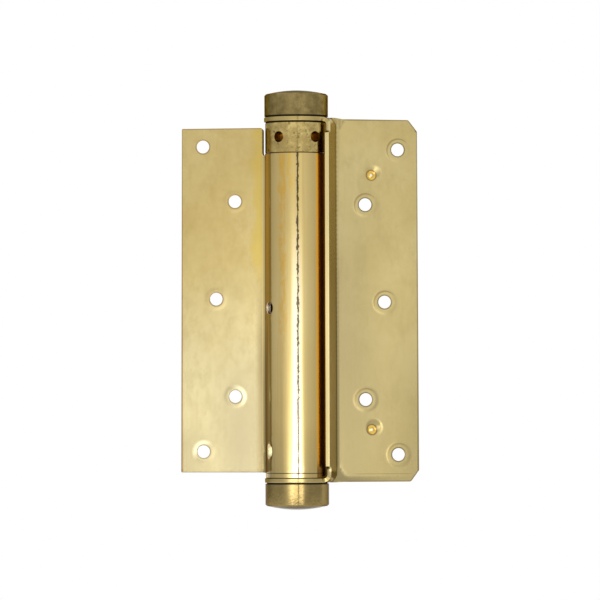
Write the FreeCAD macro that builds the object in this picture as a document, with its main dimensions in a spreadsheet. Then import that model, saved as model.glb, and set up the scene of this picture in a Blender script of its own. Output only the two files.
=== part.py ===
"""Single-action spring hinge: two pressed leaves on a sprung barrel between two ears.

The origin is on the pin axis, halfway between the ears, and +Z runs up the pin. The barrel
leaf lies along -X and its wood side faces -Y. The frame leaf is drawn flat along +X, with its
wood side facing -Y too, and is then turned back about the pin to the angle at rest.
"""
import FreeCAD
import Part
import Sketcher
import math
import os

# Driving sizes in millimetres and degrees, one sheet cell each
SIZES = {
    # Both leaves
    "sheet": 1.8,
    "leaf_gap": 3.4,
    "hole_dia": 5.3,
    "sink_dia": 8.8,
    "sink_angle": 90,
    "dimple_dia": 10.4,
    "dimple_rise": 0.5,
    "dimple_taper_angle": 45,
    "outer_inset": 12.25,
    "inner_spacing": 80.2,
    # Barrel leaf and its rolled tube
    "tube_radius": 12.9,
    "roll_bend": 2.4,
    "seam_gap": 0.4,
    "barrel_reach": 47.2,
    "barrel_top_gap": 4.2,
    "barrel_holes_lift": 0.5,
    "barrel_outer_at": 38.4,
    "barrel_inner_at": 25.1,
    "barrel_middle_at": 33.0,
    "slot_gap": 0.4,
    "slot_round": 0.8,
    "barrel_corner": 1.4,
    "collar_gap": 0.2,
    "oil_dia": 4.9,
    "oil_height": -3.45,
    "side_angle": -53.1,
    "dent_dia": 8.0,
    "dent_depth": 1.0,
    "dent_up": 9.0,
    # Frame leaf, its wall and its ears
    "rest_angle": 17.5,
    "ear_height": 75.0,
    "ear_step": 0.35,
    "wall_lean_angle": 27.9,
    "wall_gap": 1.17,
    "wall_step": 0.9,
    "fold_round": 2.0,
    "bend_inside": 1.6,
    "frame_reach": 49.9,
    "frame_drop": 0.2,
    "facet_width": 2.9,
    "corner_width": 3.7,
    "corner_height": 5.4,
    "margin_width": 3.3,
    "margin_depth": 0.7,
    "frame_holes_drop": 0.9,
    "frame_outer_at": 41.7,
    "frame_inner_at": 28.1,
    "frame_middle_at": 36.1,
    "pip_at": 30.7,
    "pip_spacing": 104.7,
    "pip_drop": 1.0,
    "pip_dia": 4.0,
    "pip_rise": 3.0,
    "pip_shoulder": 1.2,
    "pip_floor": 1.5,
    "pip_wall": 1.1,
    "crater_dia": 10.0,
    # Caps, shims, washers and pins
    "cap_step": 0.2,
    "cap_side": 9.2,
    "cap_dome": 1.6,
    "dome_steps": 4,
    "cap_round": 0.6,
    "cap_bore_depth": 5.0,
    "shim": 0.4,
    "shim_step": 0.6,
    "washer": 0.3,
    "washer_step": 1.8,
    "pin_radius": 4.0,
    "pin_chamfer": 0.6,
    "pin_end_gap": 1.0,
    "press_gap": 0.02,
    "run_gap": 0.05,
    # Tension collar, plug, bushes and arbor
    "collar_step": 0.1,
    "collar_height": 12.5,
    "collar_chamfer": 0.4,
    "spigot_length": 10.4,
    "turn_gap": 0.3,
    "tommy_dia": 4.5,
    "tommy_wall": 1.48,
    "tommy_count": 5,
    "tommy_angle": -25.75,
    "tommy_height": 6.25,
    "bush_radius": 6.0,
    "web": 3.0,
    "arbor_web_drop": 1.4,
    "flange": 1.7,
    "plug_length": 17.5,
    "plug_gap": 0.08,
    "lower_bush_length": 10.0,
    "groove_depth": 1.3,
    "groove_half": 4.25,
    "arbor_gap": 1.9,
    "arbor_end_gap": 2.0,
    # Torsion spring
    "wire": 3.0,
    "coil_gap": 1.2,
    "coil_turns": 30,
    "coil_steps": 12,
    "bend_steps": 4,
    "leg_bend": 2.8,
    "leg_clear": 1.2,
    "leg_depth": 3.0,
    "leg_gap": 0.15,
}


class Size:
    """A size with its value and the formula in sheet cells that gives it."""

    def __init__(self, value, text):
        self.value = float(value)
        self.text = text

    def __add__(self, other):
        other = as_size(other)
        return Size(self.value + other.value, f"({self.text} + {other.text})")

    def __sub__(self, other):
        other = as_size(other)
        return Size(self.value - other.value, f"({self.text} - {other.text})")

    def __mul__(self, other):
        other = as_size(other)
        return Size(self.value * other.value, f"({self.text} * {other.text})")

    def __truediv__(self, other):
        other = as_size(other)
        return Size(self.value / other.value, f"({self.text} / {other.text})")

    def __neg__(self):
        return Size(-self.value, f"(-1 * {self.text})")

    def __radd__(self, other):
        return as_size(other) + self

    def __rsub__(self, other):
        return as_size(other) - self

    def __rmul__(self, other):
        return as_size(other) * self

    def __rtruediv__(self, other):
        return as_size(other) / self


def as_size(number):
    return number if isinstance(number, Size) else Size(number, repr(number))


def root_of(size):
    return Size(math.sqrt(size.value), f"sqrt({size.text})")


def sine(angle):
    return Size(math.sin(math.radians(angle.value)), f"sin({angle.text})")


def cosine(angle):
    return Size(math.cos(math.radians(angle.value)), f"cos({angle.text})")


doc = FreeCAD.newDocument("SpringHinge")
sheet = doc.addObject("Spreadsheet::Sheet", "Sizes")
for row, (alias, number) in enumerate(SIZES.items(), start=1):
    sheet.set(f"A{row}", alias)
    sheet.set(f"B{row}", str(number))
    sheet.setAlias(f"B{row}", alias)
doc.recompute()


def cell(alias):
    """The size held in one cell of the sheet."""
    return Size(getattr(sheet, alias), f"Sizes.{alias}")


# Sketches, drawn from points that are sizes

def vector(point):
    return FreeCAD.Vector(as_size(point[0]).value, as_size(point[1]).value, 0)


def arc_between(start, end, radius):
    """The shorter arc between two points, anticlockwise if its radius is positive."""
    if radius < 0:
        return arc_between(end, start, -radius)
    chord = end - start
    height = math.sqrt(max(radius**2 - (chord.Length / 2) ** 2, 0))
    across = FreeCAD.Vector(-chord.y, chord.x, 0).normalize()
    centre = start + chord * 0.5 + across * height
    first = math.atan2(start.y - centre.y, start.x - centre.x)
    last = math.atan2(end.y - centre.y, end.x - centre.x)
    circle = Part.Circle(centre, FreeCAD.Vector(0, 0, 1), radius)
    return Part.ArcOfCircle(circle, first, last)


def bind(sketch, constraint, text):
    index = sketch.addConstraint(constraint)
    sketch.setExpression(f"Constraints[{index}]", text)


def fix_point(sketch, element, end, point):
    """Hold one point of the sketch at its two sizes, measured from the sketch's origin."""
    for kind, axis, size in zip(("DistanceX", "DistanceY"), (-2, -1), map(as_size, point[:2])):
        if size.value == 0:
            sketch.addConstraint(Sketcher.Constraint("PointOnObject", element, end, axis))
        else:
            bind(sketch, Sketcher.Constraint(kind, -1, 1, element, end, size.value), size.text)


def draw_circle(sketch, x, y, radius):
    circle = Part.Circle(vector((x, y)), FreeCAD.Vector(0, 0, 1), radius.value)
    element = sketch.addGeometry(circle, False)
    fix_point(sketch, element, 3, (x, y))
    bind(sketch, Sketcher.Constraint("Radius", element, radius.value), radius.text)


def draw_outline(sketch, points):
    """A closed outline. A point with a third value is reached by an arc of that radius."""
    ends = []
    for start, end in zip(points, points[1:] + points[:1]):
        if len(end) == 2:
            element = sketch.addGeometry(Part.LineSegment(vector(start), vector(end)), False)
            ends.append((element, 1, 2))
        else:
            radius = as_size(end[2])
            arc = arc_between(vector(start), vector(end), radius.value)
            element = sketch.addGeometry(arc, False)
            ends.append((element, 1, 2) if radius.value > 0 else (element, 2, 1))
            size = radius if radius.value > 0 else -radius
            bind(sketch, Sketcher.Constraint("Radius", element, size.value), size.text)
    for (before, _, tail), (after, head, _), point in zip(ends[-1:] + ends[:-1], ends, points):
        sketch.addConstraint(Sketcher.Constraint("Coincident", before, tail, after, head))
        fix_point(sketch, after, head, point)


def mirrored(points, side):
    """The same outline, or its mirror image in the sketch's X axis where side is -1."""
    if side > 0:
        return points
    return [(x, -as_size(y), *(-as_size(r) for r in radius)) for x, y, *radius in points]


def new_body(label):
    body = doc.addObject("PartDesign::Body", label)
    body.Label = label
    return body


def new_sketch(body, name, plane, offset=None, turn=None):
    """A sketch on one of the body's planes, moved by sizes and turned about the pin axis."""
    sketch = body.newObject("Sketcher::SketchObject", f"{body.Name}_{name}")
    base = [item for item in body.Origin.OriginFeatures if item.Role == plane]
    sketch.AttachmentSupport = [(base[0], "")]
    sketch.MapMode = "FlatFace"
    offset = [as_size(size) for size in offset or (0, 0, 0)]
    place = FreeCAD.Vector(*[size.value for size in offset])
    spin = FreeCAD.Rotation(FreeCAD.Vector(0, 1, 0), turn.value if turn else 0)
    sketch.AttachmentOffset = FreeCAD.Placement(place, spin)
    for letter, size in zip("xyz", offset):
        if size.value:
            sketch.setExpression(f"AttachmentOffset.Base.{letter}", size.text)
    if turn:
        sketch.setExpression("AttachmentOffset.Rotation.Angle", turn.text)
    return sketch


def new_feature(body, kind, name, sketch, **sizes):
    feature = body.newObject(f"PartDesign::{kind}", f"{body.Name}_{name}")
    feature.Profile = sketch
    for key, size in sizes.items():
        size = as_size(size)
        setattr(feature, key, size.value)
        feature.setExpression(key, size.text)
    sketch.Visibility = False
    return feature


def cut_through(body, name, sketch, reverse=False):
    pocket = new_feature(body, "Pocket", name, sketch)
    pocket.Type = "ThroughAll"
    pocket.Reversed = reverse
    doc.recompute()
    return pocket


def turn_profile(body, kind, name, sketch, axis="V_Axis"):
    """A Revolution or a Groove of a sketch, all the way round one of its own axes."""
    feature = new_feature(body, kind, name, sketch)
    feature.ReferenceAxis = (sketch, [axis])
    feature.Angle = 360
    doc.recompute()
    return feature


def turned(label, points, side=1):
    """A piece turned about the pin axis, from its half section in radius and height."""
    body = new_body(label)
    sketch = new_sketch(body, "section", "XZ_Plane")
    draw_outline(sketch, mirrored(points, side))
    turn_profile(body, "Revolution", "turning", sketch)
    return body


def edges_where(shape, test):
    return [f"Edge{n}" for n, edge in enumerate(shape.Edges, start=1) if test(edge)]


def soften(body, kind, name, edges, **sizes):
    """A Fillet or a Chamfer of the named edges of the body's last feature."""
    base = body.Tip
    feature = body.newObject(f"PartDesign::{kind}", f"{body.Name}_{name}")
    feature.Base = (base, edges)
    if "Size2" in sizes:
        feature.ChamferType = "Two distances"
    for key, size in sizes.items():
        setattr(feature, key, size.value)
        feature.setExpression(key, size.text)
    doc.recompute()
    return feature


# Shared sizes, worked out from the cells

thickness = cell("sheet")
tube_radius = cell("tube_radius")
collar_radius = tube_radius - cell("collar_step")
cap_radius = tube_radius + cell("cap_step")
back = cell("leaf_gap") / 2
front = back + thickness
ear_top = cell("ear_height")
ear_under = ear_top - thickness
barrel_top = ear_top - cell("barrel_top_gap")
tube_bore = tube_radius - thickness
washer_under = ear_under - cell("washer")
cap_base = ear_top + cell("shim")
pin_radius = cell("pin_radius")
pressed_bore = pin_radius + cell("press_gap")
running_bore = pin_radius + cell("run_gap")
pin_head = cap_base + cell("cap_bore_depth")
collar_base = washer_under - cell("collar_height")
tube_top = collar_base - cell("collar_gap")
flange_top = washer_under - cell("flange")
dent_height = cell("dent_up") - flange_top
bush_bore = cell("bush_radius") + cell("press_gap")
coil_radius = tube_bore - cell("coil_gap") - cell("wire") / 2
arbor_radius = coil_radius - cell("wire") / 2 - cell("arbor_gap")
plug_top = flange_top - cell("plug_length")
spigot_end = collar_base - cell("spigot_length")
coil_height = spigot_end + plug_top - 2 * (cell("leg_clear") + cell("leg_bend"))
coil_pitch = coil_height / cell("coil_turns")
coil_round = 2 * math.pi * coil_radius
coil_slope = coil_pitch / root_of(coil_pitch * coil_pitch + coil_round * coil_round)


# Leaves

def screw_holes(body, rows):
    """Raised rims on the wood side, holes through them, and countersinks from inside."""
    rim = new_sketch(body, "rims", "XZ_Plane", (0, 0, front))
    sink = new_sketch(body, "sinks", "XZ_Plane", (0, 0, back))
    bore = new_sketch(body, "bores", "XZ_Plane", (0, 0, back))
    for x, z in rows:
        draw_circle(rim, x, z, cell("dimple_dia") / 2)
        draw_circle(sink, x, z, cell("sink_dia") / 2)
        draw_circle(bore, x, z, cell("hole_dia") / 2)
    raised = new_feature(
        body, "Pad", "rim", rim, Length=cell("dimple_rise"), TaperAngle=-cell("dimple_taper_angle")
    )
    doc.recompute()
    cut_through(body, "bore", bore, reverse=True)
    depth = (cell("sink_dia") - cell("hole_dia")) / 2
    sunk = new_feature(
        body, "Pocket", "sink", sink, Length=depth, TaperAngle=-cell("sink_angle") / 2
    )
    sunk.Reversed = True
    doc.recompute()
    return raised, sunk


def hole_rows(outer, inner, middle, centre, side):
    """The five hole centres of a leaf: an outer pair, an inner pair and a middle hole."""
    rows = [(side * middle, centre)]
    for x, rise in ((outer, ear_top - cell("outer_inset")), (inner, cell("inner_spacing") / 2)):
        rows += [(side * x, centre + rise), (side * x, centre - rise)]
    return rows


def barrel_leaf():
    """A sheet whose edge is bent forward and rolled into a tube round the pin axis."""
    body = new_body("barrel_leaf")
    outside = tube_radius
    middle = tube_bore + thickness / 2
    bend = cell("roll_bend")
    bend_y = -(back + thickness / 2) - bend
    bend_x = -root_of((middle + bend) * (middle + bend) - bend_y * bend_y)
    reach = -cell("barrel_reach")
    along = bend_x / (middle + bend)
    down = bend_y / (middle + bend)
    seam_y = (cell("seam_gap") - back) / middle
    seam_x = -root_of(1 - seam_y * seam_y)
    section = [
        (reach, -front),
        (bend_x, -front),
        (along * outside, down * outside, -(bend - thickness / 2)),
        (0, -outside, outside),
        (outside, 0, outside),
        (0, outside, outside),
        (seam_x * outside, seam_y * outside, outside),
        (seam_x * tube_bore, seam_y * tube_bore),
        (0, tube_bore, -tube_bore),
        (tube_bore, 0, -tube_bore),
        (0, -tube_bore, -tube_bore),
        (along * tube_bore, down * tube_bore, -tube_bore),
        (bend_x, -back, bend + thickness / 2),
        (reach, -back),
    ]
    sketch = new_sketch(body, "section", "XY_Plane", (0, 0, -flange_top))
    draw_outline(sketch, section)
    new_feature(body, "Pad", "roll", sketch, Length=barrel_top + flange_top)
    doc.recompute()

    # The tube stops under the collar; the plate runs on beside it
    sketch = new_sketch(body, "slot", "XZ_Plane", (0, 0, 2 * outside))
    edge = -(collar_radius + cell("slot_gap"))
    clear = 2 * outside
    slot = [(edge, tube_top), (clear, tube_top), (clear, ear_top), (edge, ear_top)]
    draw_outline(sketch, slot)
    cut_through(body, "slot_cut", sketch)
    relief = new_sketch(body, "relief", "XZ_Plane")
    draw_circle(relief, edge + cell("slot_round"), tube_top, cell("slot_round"))
    cut_through(body, "relief_cut", relief, reverse=True)

    corner = edges_where(
        body.Shape,
        lambda e: abs(e.CenterOfMass.z - barrel_top.value) < 0.01
        and abs(e.CenterOfMass.x - edge.value) < 0.01
        and e.Length < 2 * thickness.value,
    )
    soften(body, "Fillet", "corner", corner, Radius=cell("barrel_corner"))

    holes = hole_rows(
        cell("barrel_outer_at"),
        cell("barrel_inner_at"),
        cell("barrel_middle_at"),
        cell("barrel_holes_lift"),
        -1,
    )
    screw_holes(body, holes)

    oil = new_sketch(body, "oil", "XZ_Plane", turn=cell("side_angle"))
    draw_circle(oil, 0, cell("oil_height"), cell("oil_dia") / 2)
    cut_through(body, "oil_cut", oil, reverse=True)

    # The crimp: a cup pressed into the tube, and its bulge inside
    half = cell("dent_dia") / 2
    sag = cell("dent_depth")
    place = (0, dent_height, 0)
    turn = cell("side_angle") - 90
    root = tube_bore + thickness / 4
    cuts = (
        ("Revolution", "bulge", tube_bore - sag, root, root),
        ("Groove", "dent", outside - sag, outside, outside + thickness),
    )
    for kind, name, deepest, rim, end in cuts:
        rise = rim - deepest
        ball = (half * half + rise * rise) / (2 * rise)
        sketch = new_sketch(body, name, "XZ_Plane", place, turn)
        outline = [(deepest, 0, ball), (end, 0), (end, half)]
        if end is not rim:
            outline.append((rim, half))
        draw_outline(sketch, outline)
        turn_profile(body, kind, f"{name}_turn", sketch, "H_Axis")
    return body


def touch_point(x, y, radius, way):
    """Where a line from a point outside touches a circle round the pin, on one side of it."""
    square = x * x + y * y
    run = root_of(square - radius * radius)
    return (
        (radius * radius * x + way * radius * y * run) / square,
        (radius * radius * y - way * radius * x * run) / square,
    )


def frame_leaf():
    """A plate with a wall folded forward, and an ear bent from each end of the wall."""
    body = new_body("frame_leaf")
    lean_sine = sine(cell("wall_lean_angle"))
    lean_cosine = cosine(cell("wall_lean_angle"))
    ear = tube_radius + cell("ear_step")
    face = tube_radius + cell("wall_gap") + thickness
    fold = (face - front * lean_sine) / lean_cosine
    inside = cell("bend_inside")
    outside = inside + thickness

    # The wall and ears: a channel section run along the wall, past both its ends
    bend = face - outside
    straight = ear_top - outside
    far = ear + thickness
    channel = [
        (face, -straight, outside),
        (face, straight),
        (bend, ear_top, outside),
        (-far, ear_top),
        (-far, ear_under),
        (bend, ear_under),
        (face - thickness, straight, -inside),
        (face - thickness, -straight),
        (bend, -ear_under, -inside),
        (-far, -ear_under),
        (-far, -ear_top),
        (bend, -ear_top),
    ]
    start = (far * lean_sine, 0, -far * lean_cosine)
    sketch = new_sketch(body, "channel", "XZ_Plane", start, -cell("wall_lean_angle"))
    draw_outline(sketch, channel)
    new_feature(body, "Pad", "channel_run", sketch, Length=2 * far)
    doc.recompute()

    # Everything outside the outline that the wall and ears show from above is cut away
    root = (fold, -front)
    foot_x = fold - thickness * (1 - lean_sine) / lean_cosine
    wall_reach = tube_radius - cell("wall_step")
    tip = (fold - (wall_reach - front) * lean_sine / lean_cosine, -wall_reach)
    tip_inside = (tip[0] - thickness * lean_cosine, tip[1] + thickness * lean_sine)
    outline = [
        root,
        tip,
        tip_inside,
        touch_point(*tip_inside, ear, 1),
        (0, -ear, -ear),
        (-ear, 0, -ear),
        (0, ear, -ear),
        (*touch_point(foot_x, -back, ear, -1), -ear),
        (foot_x, -back),
    ]
    sketch = new_sketch(body, "above", "XY_Plane", (0, 0, ear_top + thickness))
    wide = 2 * far
    draw_outline(sketch, [(-wide, -wide), (wide, -wide), (wide, wide), (-wide, wide)])
    draw_outline(sketch, outline)
    cut_through(body, "above_cut", sketch)

    sketch = new_sketch(body, "pin_holes", "XY_Plane", (0, 0, ear_top + thickness))
    draw_circle(sketch, 0, 0, pressed_bore)
    cut_through(body, "pin_holes_cut", sketch)

    # The plate
    end = ear_top - cell("frame_drop")
    reach = cell("frame_reach")
    shoulder = reach - cell("corner_width")
    facet = fold + cell("facet_width")
    upper = [
        (reach, end - cell("corner_height")),
        (shoulder, end),
        (facet, end),
        (foot_x, ear_top - inside),
    ]
    lower = [(x, -y) for x, y in reversed(upper)]
    sketch = new_sketch(body, "plate", "XZ_Plane", (0, 0, back))
    draw_outline(sketch, upper + lower)
    new_feature(body, "Pad", "plate_pad", sketch, Length=thickness)
    doc.recompute()

    # The back of the fold is round, and the ends of the plate fall away from the wood
    fold_round = cell("fold_round")
    run = fold_round * lean_cosine / (1 + lean_sine)
    sketch = new_sketch(body, "fold", "XY_Plane", (0, 0, straight))
    draw_outline(
        sketch,
        [
            (foot_x - run * lean_sine, -back - run * lean_cosine, fold_round),
            (foot_x, -back),
            (foot_x + run, -back),
        ],
    )
    new_feature(body, "Pocket", "fold_cut", sketch, Length=2 * straight)
    doc.recompute()
    ends = edges_where(
        body.Shape,
        lambda e: abs(abs(e.CenterOfMass.z) - end.value) < 0.01
        and abs(e.CenterOfMass.y + front.value) < 0.01,
    )
    soften(body, "Chamfer", "ends", ends, Size=cell("margin_width"), Size2=cell("margin_depth"))

    # Pips pressed through towards the other leaf keep the closed leaves apart
    dot = cell("pip_dia") / 2
    crater = cell("crater_dia") / 2
    rise = cell("pip_rise")
    dome = dot + cell("pip_wall")
    crown = rise - cell("pip_shoulder")
    dome_round = (dome * dome + crown * crown) / (2 * crown)
    hollow = rise - cell("pip_floor")
    dot_round = (dot * dot + hollow * hollow) / (2 * hollow)
    for name, side in (("upper", 1), ("lower", -1)):
        height = side * cell("pip_spacing") / 2 - cell("pip_drop")
        bump = new_sketch(body, f"{name}_bump", "XY_Plane", (cell("pip_at"), 0, height))
        draw_outline(
            bump,
            [
                (0, rise - back),
                (dome, cell("pip_shoulder") - back, -dome_round),
                (crater, -back),
                (crater, -back - thickness / 2),
                (0, -back - thickness / 2),
            ],
        )
        turn_profile(body, "Revolution", f"{name}_bump_turn", bump)
        dish = new_sketch(body, f"{name}_dish", "XY_Plane", (cell("pip_at"), 0, height))
        draw_outline(
            dish,
            [
                (0, rise - front),
                (dot, cell("pip_floor") - front, -dot_round),
                (crater, -front),
                (crater, -front - thickness),
                (0, -front - thickness),
            ],
        )
        turn_profile(body, "Groove", f"{name}_dish_turn", dish)

    holes = hole_rows(
        cell("frame_outer_at"),
        cell("frame_inner_at"),
        cell("frame_middle_at"),
        -cell("frame_holes_drop"),
        1,
    )
    screw_holes(body, holes)
    rest = cell("rest_angle")
    body.Placement.Rotation = FreeCAD.Rotation(FreeCAD.Vector(0, 0, 1), rest.value)
    body.setExpression("Placement.Rotation.Angle", rest.text)
    return body


# Caps, shims, washers and pins, one set at each end

def end_pieces(name, side):
    bevel = cell("cap_round")
    side_top = cap_base + cell("cap_side")
    # The dome is turned in straight steps, each on a curve that is flat at the middle
    steps = int(cell("dome_steps").value)
    dome = []
    for step in range(steps + 1):
        share = as_size((steps - step) / steps)
        height = side_top + cell("cap_dome") * (1 - share * share)
        dome.append(((cap_radius - bevel) * share, height))
    profile = [(pressed_bore, cap_base), (cap_radius, cap_base), (cap_radius, side_top - bevel)]
    profile += [*dome, (0, pin_head), (pressed_bore, pin_head)]
    cap = turned(f"{name}_cap", profile, side)

    def ring(label, inner, outer, low, high):
        points = [(inner, low), (outer, low), (outer, high), (inner, high)]
        return turned(label, points, side)

    loose_bore = pin_radius + cell("turn_gap")
    rim = cap_radius - cell("shim_step")
    shim = ring(f"{name}_cap_shim", loose_bore, rim, ear_top, cap_base)
    rim = collar_radius - cell("washer_step")
    washer = ring(f"{name}_thrust_washer", loose_bore, rim, washer_under, ear_under)
    bush_end = bush_floor(side)
    bush = ring(
        f"{'upper' if side > 0 else 'lower'}_bush",
        running_bore,
        cell("bush_radius"),
        bush_end,
        washer_under,
    )
    chamfer = cell("pin_chamfer")
    foot = bush_end + cell("pin_end_gap")
    pin = turned(
        f"{name}_pivot_pin",
        [
            (0, foot),
            (pin_radius - chamfer, foot),
            (pin_radius, foot + chamfer),
            (pin_radius, pin_head),
            (0, pin_head),
        ],
        side,
    )
    return [cap, shim, washer, bush, pin]


def bush_floor(side):
    """The height of a bush's inner end: the collar's bush is longer than the plug's."""
    if side > 0:
        return collar_base - cell("arbor_web_drop")
    return washer_under - cell("lower_bush_length")


# Tension collar and anchor plug, which hold the two ends of the spring

def leg_hole(body, z, side, depth):
    """A socket for one leg of the spring, in the face at this height."""
    sketch = new_sketch(body, "leg", "XY_Plane", (0, 0, z))
    along = side * cell("leg_bend") * (1 - coil_slope)
    draw_circle(sketch, coil_radius, along, cell("wire") * root_of(as_size(0.5)) + cell("leg_gap"))
    pocket = new_feature(body, "Pocket", "leg_socket", sketch, Length=depth)
    pocket.Reversed = side > 0
    doc.recompute()


def tension_collar():
    chamfer = cell("collar_chamfer")
    socket = arbor_radius + cell("turn_gap")
    floor = bush_floor(1)
    body = turned(
        "tension_collar",
        [
            (bush_bore, washer_under),
            (collar_radius - chamfer, washer_under),
            (collar_radius, washer_under - chamfer),
            (collar_radius, collar_base),
            (tube_bore - cell("turn_gap"), collar_base),
            (tube_bore - cell("turn_gap"), spigot_end),
            (socket, spigot_end),
            (socket, floor - cell("web")),
            (0, floor - cell("web")),
            (0, floor),
            (bush_bore, floor),
        ],
    )
    reach = bush_bore + cell("tommy_wall")
    turn = cell("tommy_angle")
    start = (sine(turn) * reach, 0, cosine(turn) * reach)
    sketch = new_sketch(body, "tommy", "XZ_Plane", start, turn)
    draw_circle(sketch, 0, collar_base + cell("tommy_height"), cell("tommy_dia") / 2)
    pocket = cut_through(body, "tommy_hole", sketch, reverse=True)
    ring = body.newObject("PartDesign::PolarPattern", "tension_collar_tommy_ring")
    ring.Originals = [pocket]
    pin_line = [item for item in body.Origin.OriginFeatures if item.Role == "Z_Axis"]
    ring.Axis = (pin_line[0], [""])
    ring.Angle = 360
    ring.Occurrences = int(cell("tommy_count").value)
    ring.setExpression("Occurrences", cell("tommy_count").text)
    body.Tip = ring
    doc.recompute()
    leg_hole(body, spigot_end, 1, cell("leg_depth") + cell("wire"))
    return body


def anchor_plug():
    radius = tube_bore - cell("plug_gap")
    floor = washer_under - cell("lower_bush_length")
    socket_end = floor - cell("web")
    middle = -dent_height
    half = cell("groove_half")
    waist = radius - cell("groove_depth")
    socket = arbor_radius + cell("press_gap")
    body = turned(
        "spring_anchor_plug",
        [
            (socket, plug_top),
            (radius, plug_top),
            (radius, middle - half),
            (waist, middle - half),
            (waist, middle + half),
            (radius, middle + half),
            (radius, flange_top),
            (tube_radius, flange_top),
            (tube_radius, washer_under),
            (bush_bore, washer_under),
            (bush_bore, floor),
            (0, floor),
            (0, socket_end),
            (socket, socket_end),
        ],
        -1,
    )
    leg_hole(body, -plug_top, -1, cell("leg_depth") + cell("wire") / 2)
    return body


def spring_arbor():
    low = -(washer_under - cell("lower_bush_length") - cell("web"))
    high = bush_floor(1) - cell("web") - cell("arbor_end_gap")
    chamfer = cell("pin_chamfer")
    return turned(
        "spring_arbor",
        [
            (0, low),
            (arbor_radius - chamfer, low),
            (arbor_radius, low + chamfer),
            (arbor_radius, high - chamfer),
            (arbor_radius - chamfer, high),
            (0, high),
        ],
    )


def torsion_spring():
    """Square wire wound close, with each end turned along the pin into its socket."""
    radius = coil_radius.value
    bend = cell("leg_bend").value
    half = cell("wire").value / 2
    low = -plug_top.value + (cell("leg_clear") + cell("leg_bend")).value
    slope = math.asin(coil_slope.value)
    reach = (cell("leg_clear") + cell("leg_depth")).value
    steps = int(cell("coil_steps").value)
    turns = int(cell("coil_turns").value)
    bend_steps = int(cell("bend_steps").value)

    def section(middle, angle, tilt):
        """The wire's square at a point of its path, which climbs there at the tilt."""
        outward = FreeCAD.Vector(math.cos(angle), math.sin(angle), 0)
        around = FreeCAD.Vector(-math.sin(angle), math.cos(angle), 0)
        across = FreeCAD.Vector(0, 0, math.cos(tilt)) - around * math.sin(tilt)
        signs = ((-half, -half), (half, -half), (half, half), (-half, half))
        return [middle + outward * a + across * b for a, b in signs]

    def leg(z, way):
        """Sections from the coil's end round the quarter bend to the tip of the leg."""
        found = []
        for step in range(1, bend_steps + 1):
            tilt = slope + (math.pi / 2 - slope) * step / bend_steps
            along = bend * (math.sin(tilt) - math.sin(slope))
            up = bend * (math.cos(slope) - math.cos(tilt))
            middle = FreeCAD.Vector(radius, way * along, z + way * up)
            found.append(section(middle, 0, tilt))
        tip = middle + FreeCAD.Vector(0, 0, way * reach)
        return found + [section(tip, 0, math.pi / 2)]

    coil = []
    for step in range(turns * steps + 1):
        angle = 2 * math.pi * step / steps
        height = low + coil_height.value * step / (turns * steps)
        middle = FreeCAD.Vector(radius * math.cos(angle), radius * math.sin(angle), height)
        coil.append(section(middle, angle, slope))
    rings = leg(low, -1)[::-1] + coil + leg(low + coil_height.value, 1)

    corners = []
    for below, above in zip(rings, rings[1:]):
        for side in range(4):
            after = (side + 1) % 4
            corners.append((below[side], below[after], above[after]))
            corners.append((below[side], above[after], above[side]))
    corners += [tuple(rings[0]), tuple(rings[-1])]
    faces = [Part.Face(Part.makePolygon([*found, found[0]])) for found in corners]
    shell = Part.makeShell(faces)
    shell.sewShape()
    solid = Part.makeSolid(shell)
    if solid.Volume < 0:
        solid.reverse()
    spring = doc.addObject("Part::Feature", "torsion_spring")
    spring.Label = "torsion_spring"
    spring.Shape = solid
    return spring


def export(pieces):
    doc.recompute()
    for item in doc.Objects:
        if {"Invalid", "Error"} & set(item.State):
            raise RuntimeError(f"{item.Name} did not build: {item.State}")
    os.makedirs("parts", exist_ok=True)
    for piece in pieces:
        shape = piece.Shape
        if shape.isNull() or not shape.isValid():
            raise RuntimeError(f"{piece.Label} has no valid shape")
        shape.exportStep(f"parts/{piece.Label}.step")
        print(piece.Label, len(shape.Solids), round(shape.Volume, 2))


pieces = [barrel_leaf(), frame_leaf(), tension_collar(), anchor_plug(), spring_arbor()]
pieces += [torsion_spring(), *end_pieces("top", 1), *end_pieces("bottom", -1)]
export(pieces)
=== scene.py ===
"""Studio picture of the spring hinge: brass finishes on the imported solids, in metres."""
import math

import bmesh
import bpy
import numpy as np
from mathutils import Matrix, Vector
from mathutils.geometry import delaunay_2d_cdt


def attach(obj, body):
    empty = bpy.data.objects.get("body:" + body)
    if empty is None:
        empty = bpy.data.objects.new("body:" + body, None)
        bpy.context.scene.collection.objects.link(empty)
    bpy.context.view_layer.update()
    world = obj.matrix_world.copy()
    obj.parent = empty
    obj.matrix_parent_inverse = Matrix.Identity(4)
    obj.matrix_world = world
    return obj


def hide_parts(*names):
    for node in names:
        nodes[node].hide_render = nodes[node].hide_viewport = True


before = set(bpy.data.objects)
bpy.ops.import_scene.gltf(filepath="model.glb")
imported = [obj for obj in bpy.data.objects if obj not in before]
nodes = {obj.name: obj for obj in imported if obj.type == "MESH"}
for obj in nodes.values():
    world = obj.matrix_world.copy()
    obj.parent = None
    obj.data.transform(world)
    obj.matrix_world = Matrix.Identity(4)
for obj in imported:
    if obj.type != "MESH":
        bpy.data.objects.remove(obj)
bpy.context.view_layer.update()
scene = bpy.context.scene


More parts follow.
